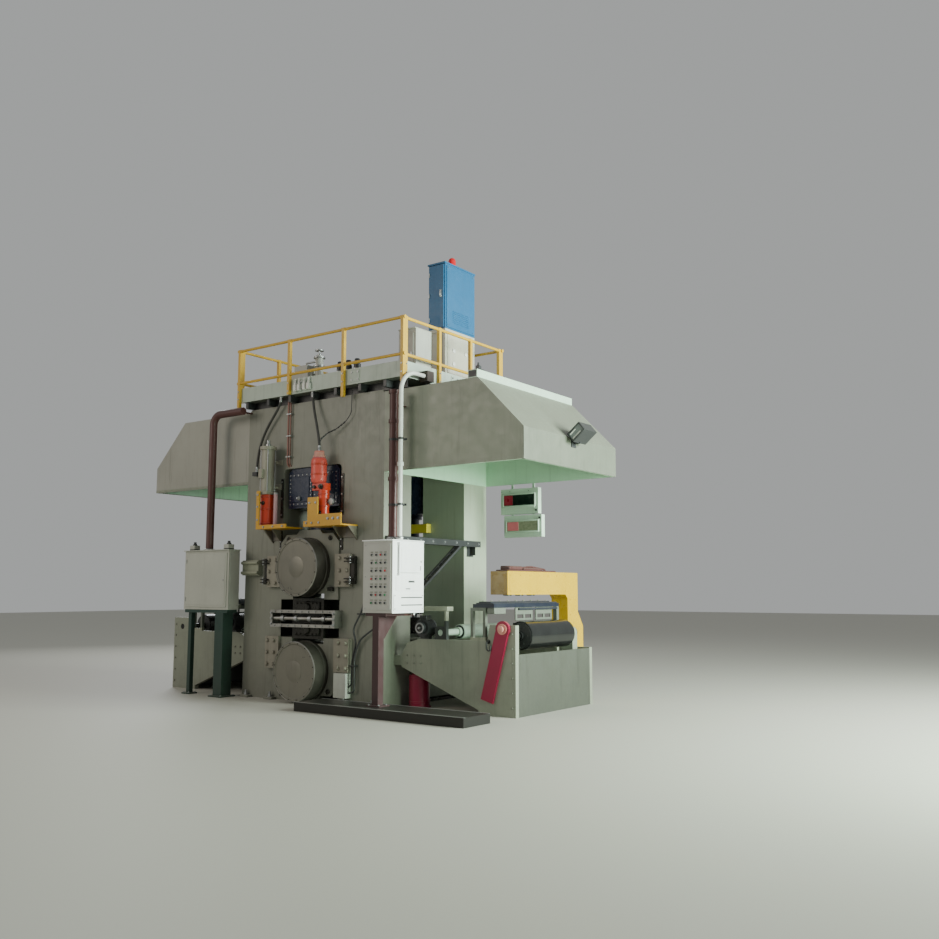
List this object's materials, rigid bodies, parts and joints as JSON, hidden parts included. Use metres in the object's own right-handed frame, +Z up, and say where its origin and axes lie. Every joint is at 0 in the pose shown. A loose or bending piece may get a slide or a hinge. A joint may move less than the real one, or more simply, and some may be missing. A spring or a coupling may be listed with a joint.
{
  "type": "rolling mill stand",
  "caption": "Cold rolling mill stand: closed housings round a four high roll stack, with fume hoods, roof platform, strip tables, thickness gauge and control cabinets.",
  "frame": {"origin": "centre of the stand at floor level, midway between the housings and under the roll axes", "axes": "+X along the strip towards the exit side, +Y across the strip towards the drive side, +Z up; the operator stands on the -Y side"},
  "size_m": [7.8041, 3.71, 6.915],
  "materials": {
    "mill_green": "semi gloss grey green enamel",
    "dark_steel": "oiled dark paint",
    "ground_steel": "ground and oiled steel",
    "navy_paint": "gloss paint",
    "yellow_paint": "gloss safety paint",
    "orange_paint": "gloss paint",
    "grey_paint": "semi gloss paint",
    "blue_paint": "powder coat",
    "beacon_red": "tinted lens",
    "maroon_paint": "red oxide paint",
    "dark_green_paint": "gloss paint",
    "crimson_paint": "gloss paint",
    "pale_green_paint": "semi gloss paint"
  },
  "bodies": {
    "stand": {"operator_housing": "mill_green", "drive_housing": "mill_green", "tie_beams": "mill_green", "floor_pan": "dark_steel", "upper_backup_chocks": "mill_green", "lower_backup_chocks": "mill_green", "upper_bearing_covers": "ground_steel", "lower_bearing_covers": "ground_steel", "upper_backup_roll": "ground_steel", "lower_backup_roll": "ground_steel", "upper_work_roll": "ground_steel", "lower_work_roll": "ground_steel", "work_roll_chocks": "dark_steel", "press_cylinders": "navy_paint", "front_brackets": "yellow_paint", "inner_brackets": "yellow_paint", "accumulators": "orange_paint", "balance_cylinder": "grey_paint", "keeper_plates": "mill_green", "work_roll_frame": "ground_steel", "exit_hood": "mill_green", "entry_hood": "mill_green", "platform_joists": "dark_steel", "platform_deck": "grey_paint", "platform_fascia": "grey_paint", "front_handrail": "yellow_paint", "rear_handrail": "yellow_paint", "exit_handrail": "yellow_paint", "entry_handrail": "yellow_paint", "roof_cabinet": "blue_paint", "cabinet_stand": "grey_paint", "warning_beacon": "beacon_red", "roof_valves": "grey_paint", "control_box": "grey_paint", "control_post": "maroon_paint", "terminal_box": "grey_paint", "terminal_post": "dark_green_paint", "operator_step": "dark_steel", "exit_conduit": "maroon_paint", "entry_conduit": "maroon_paint", "white_conduit": "grey_paint", "exit_table": "mill_green", "entry_table": "mill_green", "exit_table_fittings": "mill_green", "entry_table_fittings": "mill_green", "entry_deflector_roll": "ground_steel", "entry_table_roll": "grey_paint", "lever_bar": "crimson_paint", "lift_cylinder": "crimson_paint", "strip_gauge": "yellow_paint", "readouts": "pale_green_paint", "floodlight": "dark_steel", "service_beam": "dark_steel", "cable_duct": "pale_green_paint", "post_fittings": "grey_paint", "entry_hose": "dark_steel", "exit_hose": "dark_steel"},
    "deflector_roll": {"exit_deflector_roll": "ground_steel"},
    "table_roll": {"exit_table_roll": "grey_paint"},
    "control_box_door": {"control_box_door": "grey_paint"}
  },
  "joints": [
    {"name": "deflector_roll_turn", "type": "hinge", "parent": "stand", "child": "deflector_roll", "pos_m": [3.24, 0, 1.01], "axis": [0, 1, 0], "continuous": true},
    {"name": "table_roll_turn", "type": "hinge", "parent": "stand", "child": "table_roll", "pos_m": [2.23, 0, 1.04], "axis": [0, 1, 0], "continuous": true},
    {"name": "control_box_door_swing", "type": "hinge", "parent": "stand", "child": "control_box_door", "pos_m": [2.172, -1.79, 2.056], "axis": [0, 0, -1], "range_deg": [0, 110]}
  ]
}
